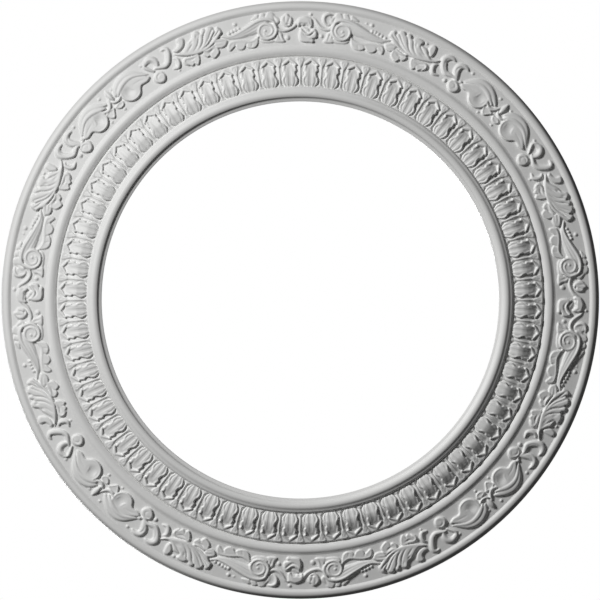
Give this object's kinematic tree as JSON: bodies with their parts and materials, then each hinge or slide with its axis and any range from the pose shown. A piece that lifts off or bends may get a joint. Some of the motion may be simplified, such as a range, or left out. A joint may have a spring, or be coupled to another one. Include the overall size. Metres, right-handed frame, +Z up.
{
  "type": "ceiling rose",
  "caption": "Ring-shaped ceiling rose with an open centre, plain beads, a band of leaves and darts and a frieze of acanthus scrolls on its face.",
  "frame": {"origin": "centre of the ring in the plane of its flat back, where it meets the ceiling", "axes": "+Z up into the ceiling, along the ring's axis; the carved face looks down along -Z; +Y runs through a dart of the leaf band"},
  "size_m": [0.51, 0.51, 0.031],
  "materials": {
    "primed_urethane": "flat white factory primer over moulded urethane foam"
  },
  "bodies": {
    "root": {"ceiling_rose": "primed_urethane"}
  },
  "joints": []
}
